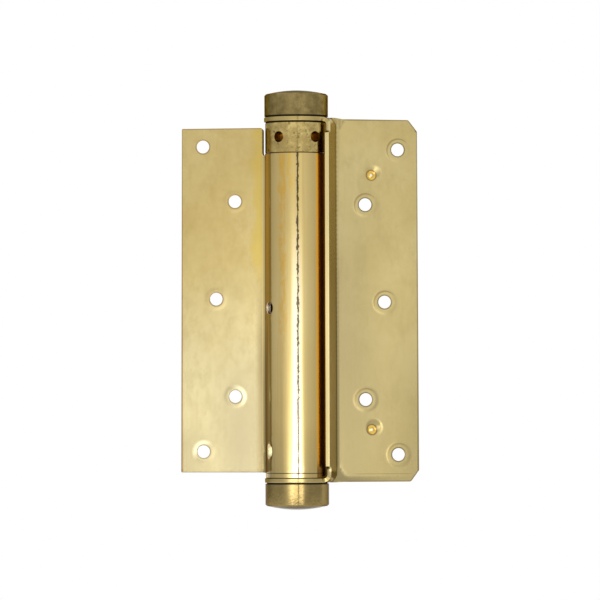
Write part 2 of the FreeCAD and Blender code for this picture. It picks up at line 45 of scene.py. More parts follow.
def camera_at(azimuth, drop, distance, lens, aside, roll):
    """A long lens at the photograph's angle, aimed a little beside the pin axis."""
    angle = math.radians(azimuth)
    across = Vector((math.cos(angle), math.sin(angle), 0))
    away = Vector((math.sin(angle), -math.cos(angle), 0))
    place = away * distance + Vector((0, 0, -drop)) + across * aside
    aim = across * aside
    data = bpy.data.cameras.new("camera")
    data.lens = lens
    data.clip_end = 50
    camera = bpy.data.objects.new("camera", data)
    turn = (aim - place).to_track_quat("-Z", "Y").to_matrix()
    camera.matrix_world = Matrix.Translation(place) @ (turn @ Matrix.Rotation(roll, 3, "Z")).to_4x4()
    scene.collection.objects.link(camera)
    scene.camera = camera


camera_at(azimuth=8.75, drop=0.045, distance=1.85, lens=270, aside=0.00136, roll=math.radians(-0.17))

# Sizes in millimetres that the pressed sheets and the marks on them share.
# FACE is how far a leaf's wood side lies in front of the pin axis, and TUBE is the radius at mid sheet.
SHEET = 1.8
BACK = 1.7
FACE = BACK + SHEET
TUBE = 12.0

# How far the frame leaf is turned back, and how far its wall leans over from a right angle
TURN = math.radians(17.5)
LEAN = math.radians(27.9)

# The screw holes: distance from the pin axis, height and, for the barrel leaf, how far the rim rises
BARREL_HOLES = [
    (38.4, 63.25, 0.02),
    (38.4, -62.25, 0.04),
    (25.1, 40.6, 0.05),
    (25.1, -39.6, 0.07),
    (33.0, 0.5, 0.06),
]
FRAME_HOLES = [(41.7, 61.85), (41.7, -63.65), (28.1, 39.2), (28.1, -41.0), (36.1, -0.9)]
PIPS = [(30.7, 51.35), (30.7, -53.35)]

# The oil hole and the dent, at one bearing in degrees on the tube's left side
SIDE = 53.1
OIL_HEIGHT = -3.45
DENT_HEIGHT = -62.2


def on_tube(radius, z):
    """A point at the oil hole's bearing, at a radius from the pin axis."""
    return (-radius * math.sin(math.radians(SIDE)), -radius * math.cos(math.radians(SIDE)), z)


def on_frame(u, z):
    """A point of the frame leaf's wood side, turned back with the leaf."""
    cos, sin = math.cos(TURN), math.sin(TURN)
    return (u * cos + FACE * sin, u * sin - FACE * cos, z)


barrel_hole_spots = [(-x, -FACE, z) for x, z, _ in BARREL_HOLES]
frame_hole_spots = [on_frame(u, z) for u, z in FRAME_HOLES]
pip_spots = [on_frame(u, z) for u, z in PIPS]
oil_spot = on_tube(TUBE, OIL_HEIGHT)
dent_spot = on_tube(12.6, DENT_HEIGHT)


def colour(red, green, blue):
    """A linear colour from the usual 0 to 255 steps."""
    def linear(step):
        share = step / 255
        return share / 12.92 if share <= 0.04045 else ((share + 0.055) / 1.055) ** 2.4

    return (linear(red), linear(green), linear(blue), 1.0)


class Graph:
    """Short calls for building a node tree. A mask is 1 where a mark is and 0 where it isn't."""

    def __init__(self, tree):
        self.tree = tree
        tree.nodes.clear()

    def add(self, kind, **settings):
        node = self.tree.nodes.new(kind)
        inputs = settings.pop("inputs", {})
        for key, value in settings.items():
            setattr(node, key, value)
        for key, value in inputs.items():
            self.feed(node, key, value)
        return node

    def feed(self, node, key, value):
        if hasattr(value, "links"):
            self.tree.links.new(value, node.inputs[key])
        else:
            node.inputs[key].default_value = value

    def math(self, operation, a, b=0.0, c=0.0):
        node = self.add("ShaderNodeMath", operation=operation)
        for key, value in enumerate((a, b, c)):
            self.feed(node, key, value)
        return node.outputs[0]

    def ramp(self, value, stops, interpolation="LINEAR"):
        node = self.add("ShaderNodeValToRGB")
        node.color_ramp.interpolation = interpolation
        elements = node.color_ramp.elements
        while len(elements) < len(stops):
            elements.new(0.5)
        for element, (place, tone) in zip(elements, stops):
            element.position = place
            element.color = (*tone, 1)
        self.feed(node, "Fac", value)
        return node.outputs["Color"]

    def mix(self, share, a, b):
        node = self.add("ShaderNodeMix", data_type="RGBA", blend_type="MIX")
        self.feed(node, 0, share)
        self.feed(node, 6, a)
        self.feed(node, 7, b)
        return node.outputs[2]

    def noise(self, vector, scale, detail=3.0, roughness=0.5):
        node = self.add("ShaderNodeTexNoise")
        self.feed(node, "Vector", vector)
        self.feed(node, "Scale", scale)
        self.feed(node, "Detail", detail)
        self.feed(node, "Roughness", roughness)
        return node.outputs["Fac"]

    def scaled(self, vector, scale):
        node = self.add("ShaderNodeMapping")
        self.feed(node, "Vector", vector)
        self.feed(node, "Scale", scale)
        return node.outputs[0]

    def dot(self, vector, direction):
        """How far a point lies along a direction."""
        node = self.add("ShaderNodeVectorMath", operation="DOT_PRODUCT")
        self.feed(node, 0, vector)
        node.inputs[1].default_value = direction
        return node.outputs["Value"]

    def step(self, value, low, high):
        """0 below low, 1 above high, soft between; falls instead where low is above high."""
        node = self.add("ShaderNodeMapRange", interpolation_type="SMOOTHSTEP")
        for key, number in (("From Min", low), ("From Max", high)):
            node.inputs[key].default_value = number
        self.feed(node, "Value", value)
        return node.outputs[0]

    def band(self, value, low, high, soft):
        """1 between low and high, soft at both."""
        rise = self.step(value, low - soft, low + soft)
        fall = self.step(value, high + soft, high - soft)
        return self.math("MULTIPLY", rise, fall)

    def near(self, place, centre, reach, soft):
        """1 close to a point, given in millimetres, and 0 beyond the reach."""
        away = self.add("ShaderNodeVectorMath", operation="DISTANCE")
        self.feed(away, 0, place)
        away.inputs[1].default_value = [c * 0.001 for c in centre]
        return self.step(away.outputs["Value"], reach * 0.001, (reach - soft) * 0.001)

    def any(self, masks):
        """1 where one of the masks is."""
        whole = masks[0]
        for mask in masks[1:]:
            whole = self.math("MAXIMUM", whole, mask)
        return whole

    def both(self, *masks):
        """1 only where all of the masks are."""
        whole = masks[0]
        for mask in masks[1:]:
            whole = self.math("MULTIPLY", whole, mask)
        return whole

    def spots(self, place, centres, reach, soft):
        """1 close to one of the points."""
        return self.any([self.near(place, centre, reach, soft) for centre in centres])

    def at_least(self, mask, least):
        """The mask, but nowhere less than a share."""
        return self.math("MULTIPLY_ADD", mask, 1 - least, least)

    def wander(self, value, noise, amount):
        """A value that a noise moves up and down."""
        return self.math("MULTIPLY_ADD", self.math("SUBTRACT", noise, 0.5), amount, value)

    def paint(self, shade, mask, tone, share=1.0):
        """The shade, with a tone of 0 to 255 steps laid over it where the mask is, up to a share."""
        if share < 1.0:
            mask = self.math("MULTIPLY", mask, share)
        return self.mix(mask, shade, colour(*tone))


def metal(name, light, dark, roughness, grain, streak, mottle=0.0, wave=0.0, film=1.5, coat=1.0,
          edge=None, marks=None, shine=1.0):
    """A plated metal: a slow drift of tone, fine grain, streaks along the pin, and its marks.

    The coat is its lacquer, with film as the index, and edge tints what it reflects at a flat angle.
    """
    material = bpy.data.materials.new(name)
    material.use_nodes = True
    graph = Graph(material.node_tree)
    place = graph.add("ShaderNodeTexCoord").outputs["Object"]
    slow = graph.noise(place, 22.0, 4.0)
    fine = graph.noise(place, 900.0, 2.0)
    lines = graph.noise(graph.scaled(place, (900.0, 900.0, 30.0)), 1.0, 2.0)
    blotch = graph.noise(place, 330.0, 5.0, 0.65)
    swell = graph.noise(graph.scaled(place, (260.0, 260.0, 60.0)), 1.0, 2.0)
    tone = graph.math("MULTIPLY_ADD", slow, 2.4, -0.7)
    tone = graph.wander(tone, blotch, mottle)
    shade = graph.mix(tone, dark, light)
    rough = graph.math("MULTIPLY_ADD", fine, 0.06, roughness - 0.03)
    if marks:
        shade, rough = marks(graph, place, shade, rough)
    height = graph.math("MULTIPLY", fine, grain)
    height = graph.math("MULTIPLY_ADD", lines, streak, height)
    height = graph.math("MULTIPLY_ADD", swell, wave, height)
    bump = graph.add("ShaderNodeBump", inputs={"Strength": 0.3, "Distance": 0.0001, "Height": height})
    shader = graph.add("ShaderNodeBsdfPrincipled", inputs={"Metallic": shine, "Coat Weight": coat})
    shader.inputs["Coat IOR"].default_value = film
    shader.inputs["Coat Roughness"].default_value = roughness
    if edge:
        shader.inputs["Specular Tint"].default_value = edge
    if shine == 0:
        shader.inputs["Specular IOR Level"].default_value = 0.2
    graph.feed(shader, "Base Color", shade)
    graph.feed(shader, "Roughness", rough)
    graph.feed(shader, "Normal", bump.outputs[0])
    graph.feed(graph.add("ShaderNodeOutputMaterial"), "Surface", shader.outputs[0])
    return material


def parts_of(graph, place):
    """The bearing round the pin in degrees, from straight ahead, and the places along x and z."""
    split = graph.add("ShaderNodeSeparateXYZ")
    graph.feed(split, 0, place)
    x, y, z = split.outputs
    bearing = graph.math("ARCTAN2", x, graph.math("MULTIPLY", y, -1.0))
    return graph.math("MULTIPLY", bearing, 180 / math.pi), x, z


def wood_side(graph, ahead):
    """1 on a leaf's wood side and 0 on its inner side."""
    return graph.step(ahead, 0.0024, 0.0028)


def leaf_marks(graph, place, shade, rough):
    """Paler brass low down as painted light, an ochre patch beside the barrel, brown rings at the holes,
    painted shade beside the bend and a painted highlight on two hole rims.
    """
    _, x, z = parts_of(graph, place)
    wood = wood_side(graph, graph.dot(place, (0, -1, 0)))
    patch = graph.noise(place, 60.0, 4.0, 0.6)
    cloud = graph.noise(graph.scaled(place, (1.0, 1.0, 0.6)), 190.0, 5.0, 0.7)
    shade = graph.paint(shade, graph.step(cloud, 0.42, 0.72), (184, 157, 90), 0.42)

    # Painted light: paler brass, growing downwards, for the stronger light low down; greyer still towards
    # the lower inner and outer corners
    pale = graph.both(graph.step(graph.wander(z, patch, 0.03), 0.045, -0.045), wood)
    painted_light_tone = graph.mix(graph.step(cloud, 0.35, 0.68), colour(188, 175, 131), colour(177, 163, 118))
    shade = graph.mix(pale, shade, painted_light_tone)
    corner = graph.both(graph.step(x, -0.044, -0.022), graph.step(z, 0.0, -0.065), wood)
    shade = graph.paint(shade, corner, (146, 135, 102), 0.95)
    ochre = graph.step(graph.wander(x, patch, 0.012), -0.0185, -0.0150)
    ochre = graph.both(ochre, graph.step(z, 0.0, 0.02))
    shade = graph.paint(shade, ochre, (200, 172, 74), 0.62)
    outer = graph.both(graph.step(x, -0.030, -0.040), graph.step(z, -0.045, -0.062), wood)
    shade = graph.paint(shade, outer, (158, 146, 108), 0.7)
    # Painted shade on the flat beside the bend, where it reflects the tube's dark side
    bend = graph.both(graph.step(x, -0.0172, -0.0142), graph.step(z, 0.02, -0.03), wood)
    shade = graph.paint(shade, bend, (128, 112, 70), 0.75)

    # A painted highlight: a bright crescent on the rims of two lower holes
    rim_highlight = []
    for centre, dx, dz in ((barrel_hole_spots[3], -0.9, -0.5), (barrel_hole_spots[1], 0.9, -0.9)):
        beside = (centre[0] + dx, centre[1], centre[2] + dz)
        rim_side = graph.near(place, centre, 5.6, 2.4)
        rim_highlight.append(graph.math("SUBTRACT", rim_side, graph.near(place, beside, 5.5, 2.4)))
    shade = graph.paint(shade, graph.step(graph.any(rim_highlight), 0.0, 0.8), (226, 216, 176), 0.8)

    # Darker cut edges, rings round the holes, and the shaded foot of the slot
    border = graph.any([graph.step(x, -0.0468, -0.0471), graph.step(z, 0.0702, 0.0706)])
    shade = graph.paint(shade, border, (140, 98, 44), 0.6)
    ring = graph.spots(place, barrel_hole_spots, 3.35, 0.5)
    ring = graph.both(ring, graph.at_least(graph.step(z, -0.03, 0.0), 0.2))
    shade = graph.paint(shade, ring, (130, 88, 34), 0.55)
    slot = graph.both(graph.step(x, -0.01375, -0.01355), graph.step(z, 0.0600, 0.0604))
    shade = graph.paint(shade, slot, (40, 28, 12))
    return shade, rough


def plate_marks(graph, place, shade, rough):
    """Streaks along the fold, painted shade at the holes and edges, painted light on the wall, and bright
    golden pips with a painted highlight.
    """
    _, x, z = parts_of(graph, place)
    ahead = graph.dot(place, (math.sin(TURN), -math.cos(TURN), 0))
    out = graph.dot(place, (math.cos(TURN), math.sin(TURN), 0))
    wood = wood_side(graph, ahead)
    cloud = graph.noise(graph.scaled(place, (1.0, 1.0, 0.5)), 130.0, 5.0, 0.7)
    shade = graph.paint(shade, graph.step(cloud, 0.42, 0.75), (172, 152, 96), 0.45)

    # Darker towards the fold and low down, with thin worn lines beside the fold
    inner = graph.both(graph.step(x, 0.042, 0.014), graph.step(z, 0.085, -0.03), wood)
    shade = graph.paint(shade, inner, (150, 137, 97), 0.88)
    streaks = graph.noise(graph.scaled(place, (300.0, 300.0, 16.0)), 1.0, 3.0)
    worn_line = graph.both(graph.step(streaks, 0.45, 0.7), graph.step(x, 0.022, 0.015))
    shade = graph.paint(shade, worn_line, (150, 132, 84), 0.35)
    root = graph.both(graph.step(x, 0.034, 0.015), graph.step(z, -0.005, -0.05), wood)
    shade = graph.paint(shade, root, (124, 112, 76), 0.6)
    low = graph.both(graph.step(z, 0.01, -0.045), wood)
    shade = graph.paint(shade, low, (162, 146, 98), 0.5)

    # The wall's outer face, painted pale: painted light that brightens what it reflects, more so low down
    lean = LEAN - TURN
    outwards = graph.dot(place, (math.cos(lean), -math.sin(lean), 0))
    wall = graph.both(
        graph.step(ahead, 0.0039, 0.0048),
        graph.step(outwards, 0.0149, 0.0152),
        graph.at_least(graph.step(z, 0.04, -0.04), 0.4),
        graph.step(z, -0.0712, -0.0696),
    )
    shade = graph.paint(shade, wall, (244, 224, 168))
    rough = graph.math("MULTIPLY_ADD", wall, 0.15, rough)

    # Painted shade along the cut edges and corners, where the sheet rounds away, and along the crease above
    # the lower edge
    ends = graph.any([graph.step(z, 0.0736, 0.0740), graph.step(z, -0.0742, -0.0746)])
    ends = graph.both(ends, graph.step(out, 0.018, 0.022))
    corners = [
        graph.step(graph.math("MULTIPLY_ADD", out, 1.3, z), 0.1333, 0.1339),
        graph.step(graph.math("MULTIPLY_ADD", out, -1.3, z), -0.1346, -0.1352),
    ]
    border = graph.any([graph.step(out, 0.0494, 0.0498), ends] + corners)
    shade = graph.paint(shade, border, (112, 88, 42), 0.6)
    crease = graph.both(graph.band(z, -0.07165, -0.0714, 0.00012), graph.band(out, 0.023, 0.0465, 0.002))
    shade = graph.paint(shade, crease, (120, 100, 54), 0.5)

    # Painted shade: a dark crescent on the upper left of each hole's dimple, and a dark ring at the hole's
    # edge
    beside = [(c[0] + 0.5, c[1], c[2] - 0.5) for c in frame_hole_spots]
    rise = graph.spots(place, frame_hole_spots, 5.0, 0.5)
    rise = graph.math("SUBTRACT", rise, graph.spots(place, beside, 4.9, 0.5))
    shade = graph.paint(shade, rise, (128, 104, 52), 0.55)
    ring = graph.spots(place, frame_hole_spots, 3.2, 0.3)
    shade = graph.paint(shade, ring, (92, 74, 36), 0.75)

    # The pips: a brown outline of painted shade, gold that is partly their polished colour and partly
    # painted reflection, and a painted highlight at the tip
    outline = graph.spots(place, pip_spots, 2.45, 0.3)
    shade = graph.paint(shade, outline, (112, 76, 26), 0.7)
    gold = graph.spots(place, pip_spots, 2.05, 0.3)
    shade = graph.paint(shade, gold, (230, 188, 88))
    tip = graph.spots(place, pip_spots, 0.85, 0.4)
    shade = graph.paint(shade, tip, (255, 252, 240))
    rough = graph.math("MULTIPLY_ADD", gold, -0.1, rough)
    return shade, rough


def tube_marks(graph, place, shade, rough):
    """Orange tarnish in one streak and a blot, orange down the right side that is partly painted reflection,
    painted light and shade on both sides and at the ends, and a broken dark line in front, a painted
    reflection.
    """
    bearing, _, z = parts_of(graph, place)
    waver = graph.noise(graph.scaled(place, (160.0, 160.0, 60.0)), 1.0, 4.0, 0.6)
    drift = graph.wander(bearing, waver, 24.0)
    near_bearing = graph.wander(bearing, waver, 3.0)
    wiped = graph.noise(graph.scaled(place, (420.0, 420.0, 14.0)), 1.0, 4.0, 0.6)
    shade = graph.paint(shade, graph.step(wiped, 0.48, 0.72), (178, 150, 92), 0.3)

    # The front: an orange streak, a blot near the top, and a pale band of painted highlight
    worn_off = graph.noise(graph.scaled(place, (1.0, 1.0, 0.5)), 420.0, 4.0, 0.7)
    worn_off = graph.step(worn_off, 0.32, 0.6)
    streak = graph.both(graph.band(drift, -25.0, -13.0, 3.0), worn_off, graph.step(z, -0.04, 0.01))
    shade = graph.paint(shade, streak, (210, 162, 50), 0.7)
    blot = graph.both(graph.band(drift, -7.0, 3.0, 2.0), graph.step(z, 0.038, 0.052), worn_off)
    shade = graph.paint(shade, blot, (214, 170, 40), 0.6)
    highlight_band = graph.both(graph.band(bearing, 1.0, 17.0, 3.5), graph.step(z, 0.045, -0.01))
    shade = graph.paint(shade, highlight_band, (212, 206, 190), 0.6)

    # The right side: bright orange, partly tarnish and partly painted reflection of the wall, then duller
    # and browner behind the wall's edge as a painted reflection in the gap, and painted shade at the foot
    side = graph.both(graph.step(near_bearing, 45.4, 50.0), graph.step(bearing, 80.0, 56.0))
    shade = graph.paint(shade, side, (238, 170, 22))
    gap_reflection = graph.band(near_bearing, 53.0, 74.0, 4.0)
    shade = graph.paint(shade, gap_reflection, (170, 106, 20), 0.6)
    rough = graph.math("MULTIPLY_ADD", gap_reflection, 0.22, rough)
    low_side = graph.both(graph.step(bearing, 46.0, 50.0), graph.step(z, -0.0645, -0.0705))
    shade = graph.paint(shade, low_side, (104, 74, 14), 0.85)

    # The left side: a copper band of painted reflection, paler low down as painted light, and painted shade
    # on the bend into the leaf
    left = graph.band(bearing, -68.0, -54.0, 0.9)
    shade = graph.paint(shade, left, (240, 205, 150), 0.75)
    left_low = graph.both(graph.band(bearing, -62.0, -50.0, 0.8), graph.step(z, -0.01, -0.04))
    shade = graph.paint(shade, left_low, (255, 240, 206), 0.75)
    fillet = graph.both(graph.band(bearing, -81.0, -69.0, 1.5), graph.step(z, 0.01, -0.04))
    shade = graph.paint(shade, fillet, (140, 122, 78), 0.75)

    # Painted shade at the tube's ends under the collar and over the ring, a painted highlight in the dent
    # with painted shade on its brim, and painted light at the oil hole's edge
    ends = graph.any([graph.band(z, -0.0713, -0.0709, 0.0001), graph.step(z, 0.0598, 0.0600)])
    shade = graph.paint(shade, ends, (80, 60, 24), 0.8)
    brim = graph.near(place, dent_spot, 3.1, 0.5)
    shade = graph.paint(shade, brim, (196, 150, 56), 0.5)
    pressed = graph.near(place, dent_spot, 2.3, 0.6)
    shade = graph.paint(shade, pressed, (255, 250, 190))
    cut = graph.near(place, oil_spot, 2.72, 0.1)
    shade = graph.paint(shade, cut, (250, 236, 216))
    rough = graph.math("MULTIPLY_ADD", cut, 0.25, rough)

    # A painted reflection of a dark gap in the light, as a dark line: its width comes and goes, and it thins
    # out towards the foot
    crumbs = graph.noise(graph.scaled(place, (700.0, 700.0, 420.0)), 1.0, 3.0, 0.7)
    width = graph.wander(1.4, crumbs, 12.0)
    off = graph.math("ABSOLUTE", graph.math("SUBTRACT", bearing, 10.9))
    line = graph.step(graph.math("SUBTRACT", off, width), 0.5, -0.3)
    line = graph.both(line, graph.at_least(graph.step(z, -0.062, -0.02), 0.6))
    shade = graph.paint(shade, line, (66, 54, 26), 0.85)
    return shade, rough


def rim_marks(graph, place, shade, rough):
    """A darker lower half: painted shade against the stronger light low down."""
    _, _, z = parts_of(graph, place)
    return graph.paint(shade, graph.step(z, 0.01, -0.06), (188, 172, 118), 0.8), rough


def cap_marks(graph, place, shade, rough):
    """The undercut rim beside the ear, in shade."""
    _, _, z = parts_of(graph, place)
    undercut = graph.step(graph.math("ABSOLUTE", z), 0.07585, 0.0756)
    return graph.paint(shade, undercut, (26, 18, 9), 0.9), rough


def collar_marks(graph, place, shade, rough):
    """Dark specks, painted reflection of light bounced in the tommy holes, and painted reflection and shade
    on the side beside the wall.
    """
    specks = graph.step(graph.noise(place, 600.0, 5.0, 0.75), 0.54, 0.66)
    shade = graph.paint(shade, specks, (48, 38, 18), 0.6)
    split = graph.add("ShaderNodeSeparateXYZ")
    graph.feed(split, 0, place)
    square = [graph.math("MULTIPLY", axis, axis) for axis in split.outputs[:2]]
    away = graph.math("SQRT", graph.math("ADD", square[0], square[1]))
    # Painted reflection: the brown of light bounced round inside the tommy holes
    hole_bounce = graph.both(graph.step(away, 0.0126, 0.0123), graph.step(away, 0.0075, 0.0080))
    shade = graph.paint(shade, hole_bounce, (150, 112, 46))
    bearing, _, z = parts_of(graph, place)
    # Painted reflection and shade on the side beside the wall
    side = graph.both(graph.band(bearing, 51.5, 78.0, 2.5), graph.step(z, 0.0665, 0.0645))
    shade = graph.paint(shade, side, (150, 104, 36), 0.8)
    return shade, rough


dim = colour(136, 126, 104)
soft = colour(205, 190, 148)
leaf = metal(
    "leaf_brass", colour(208, 187, 126), colour(192, 168, 102), roughness=0.2, grain=0.2, streak=0.25,
    mottle=0.9, film=1.4, coat=0.5, edge=soft, marks=leaf_marks,
)
plate = metal(
    "plate_brass", colour(204, 187, 131), colour(190, 171, 110), roughness=0.2, grain=0.2, streak=0.2,
    mottle=0.8, film=1.4, coat=0.5, edge=soft, marks=plate_marks,
)
ear = metal(
    "ear_brass", colour(196, 176, 120), colour(180, 158, 98), roughness=0.16, grain=0.2, streak=0.2,
    mottle=0.6, coat=0.0, edge=dim,
)
# A lighter copy of the plate's brass for the wall's front edge: painted light
rim = metal(
    "rim_brass_lit", colour(230, 212, 150), colour(218, 198, 134), roughness=0.16, grain=0.2, streak=0.2,
    mottle=0.4, film=1.4, marks=rim_marks,
)
tube = metal(
    "tube_brass", colour(211, 189, 127), colour(200, 175, 108), roughness=0.1, grain=0.2, streak=0.4,
    mottle=0.3, wave=0.4, coat=0.5, edge=soft, marks=tube_marks,
)
antique = metal(
    "antique_brass", colour(158, 139, 90), colour(114, 98, 58), roughness=0.26, grain=0.7, streak=0.5,
    mottle=2.4, coat=0.0, edge=dim, marks=cap_marks,
)
collar = metal(
    "collar_brass", colour(228, 206, 132), colour(174, 151, 90), roughness=0.17, grain=0.6, streak=0.5,
    mottle=2.6, wave=0.2, coat=0.3, edge=dim, marks=collar_marks,
)
worn = metal(
    "worn_brass", colour(166, 146, 92), colour(132, 112, 64), roughness=0.105, grain=0.5, streak=0.4,
    mottle=1.2, wave=0.3, coat=0.3, edge=dim, marks=cap_marks,
)
steel = metal(
    "spring_steel", colour(214, 210, 204), colour(170, 166, 160), roughness=0.3, grain=0.4, streak=0.6,
    coat=0.0, shine=0.3,
)
# Near black: painted shade for the dark gaps that the washers and shims fill
dark = metal(
    "dark_steel", colour(24, 17, 10), colour(12, 8, 5), roughness=0.7, grain=0.5, streak=0.2,
    coat=0.0, shine=0.0,
)
nylon = metal(
    "nylon", colour(225, 222, 210), colour(215, 212, 200), roughness=0.5, grain=0.2, streak=0.0,
    coat=0.0, shine=0.0,
)

# How far a stamped edge is rounded, in millimetres
EDGE = 0.22


def rounded(corners):
    """A closed outline from its corners, each with its two places and its radius, in millimetres."""
    found = []
    count = len(corners)
    for n in range(count):
        corner = Vector(corners[n][:2])
        before = Vector(corners[n - 1][:2]) - corner
        after = Vector(corners[(n + 1) % count][:2]) - corner
        radius = corners[n][2]
        if radius <= 0 or before.length < 1e-6 or after.length < 1e-6:
            found.append(tuple(corner))
            continue
        angle = before.angle(after)
        if abs(math.pi - angle) < 0.02:
            found.append(tuple(corner))
            continue
        cut = min(radius / math.tan(angle / 2), before.length / 2, after.length / 2)
        radius = cut * math.tan(angle / 2)
        start = corner + before.normalized() * cut
        end = corner + after.normalized() * cut
        halfway = (before.normalized() + after.normalized()).normalized()
        middle = corner + halfway * (radius / math.sin(angle / 2))
        turn = math.pi - angle
        parts = max(3, math.ceil(turn / 0.35))
        first, last = start - middle, end - middle
        for k in range(parts + 1):
            share = k / parts
            if turn < 0.01:
                way = first.lerp(last, share)
            else:
                way = (first * math.sin((1 - share) * turn) + last * math.sin(share * turn)) / math.sin(turn)
            found.append(tuple(middle + way.normalized() * radius))
    return found


def stepped(points, step):
    """The same closed outline, with points added so that no part is longer than the step."""
    found = []
    for start, end in zip(points, points[1:] + points[:1]):
        gap = (Vector(end) - Vector(start)).length
        if gap < 1e-4:
            continue
        parts = max(1, math.ceil(gap / step))
        found += [tuple(Vector(start).lerp(Vector(end), k / parts)) for k in range(parts)]
    return found


def facing(points):
    """Unit directions out of a closed outline, lengthened at its corners."""
    area = sum(a[0] * b[1] - b[0] * a[1] for a, b in zip(points, points[1:] + points[:1]))
    way = 1 if area > 0 else -1
    found = []
    for n, point in enumerate(points):
        before = (Vector(point) - Vector(points[n - 1])).normalized()
        after = (Vector(points[(n + 1) % len(points)]) - Vector(point)).normalized()
        one = Vector((before.y, -before.x)) * way
        two = Vector((after.y, -after.x)) * way
        whole = (one + two).normalized()
        found.append(whole / max(whole.dot(one), 0.5))
    return found


def inside(points, loop):
    """Which of the points lie inside the closed outline."""
    hit = np.zeros(len(points), bool)
    x, y = points[:, 0], points[:, 1]
    for (ax, ay), (bx, by) in zip(loop, loop[1:] + loop[:1]):
        if ay == by:
            continue
        crosses = ((ay > y) != (by > y)) & (x < (bx - ax) * (y - ay) / (by - ay) + ax)
        hit ^= crosses
    return hit


def clear_of(points, loop, gap):
    """Which of the points are at least the gap away from an outline."""
    kept = np.ones(len(points), bool)
    for a, b in zip(loop, loop[1:] + loop[:1]):
        a, b = np.array(a), np.array(b)
        run = b - a
        share = np.clip(((points - a) @ run) / max(run @ run, 1e-12), 0, 1)
        kept &= np.linalg.norm(points - (a + share[:, None] * run), axis=1) > gap
    return kept


def circle(centre, radius, count, ahead=0.0):
    """Even points round a circle, the first of them ahead by a share of one step."""
    turns = [2 * math.pi * (n + ahead) / count for n in range(count)]
    return [(centre[0] + radius * math.cos(turn), centre[1] + radius * math.sin(turn)) for turn in turns]


def spread(low, high, grid, fine, holes):
    """Points over the flat pattern: an even grid, with closer rings round each fine centre."""
    s, z = np.meshgrid(np.arange(low[0], high[0], grid[0]), np.arange(low[1], high[1], grid[1]))
    points = np.stack([s.ravel(), z.ravel()], axis=1)
    points[:, 0] += (np.arange(len(points)) % 2) * grid[0] * 0.02
    closer = []
    for centre, reach, gap in fine:
        away = np.linalg.norm(points - np.array(centre), axis=1)
        points = points[away > reach]
        rings = max(1, int(reach / gap))
        inmost = 1 if any(hole[0] == centre for hole in holes) else 0
        for k in range(inmost, rings + 1):
            radius = reach * k / rings
            number = max(1, int(2 * math.pi * radius / (gap * 1.1)))
            closer += circle(centre, radius, number, 0.5 * (k % 2))
    return np.concatenate([points, np.array(closer)])


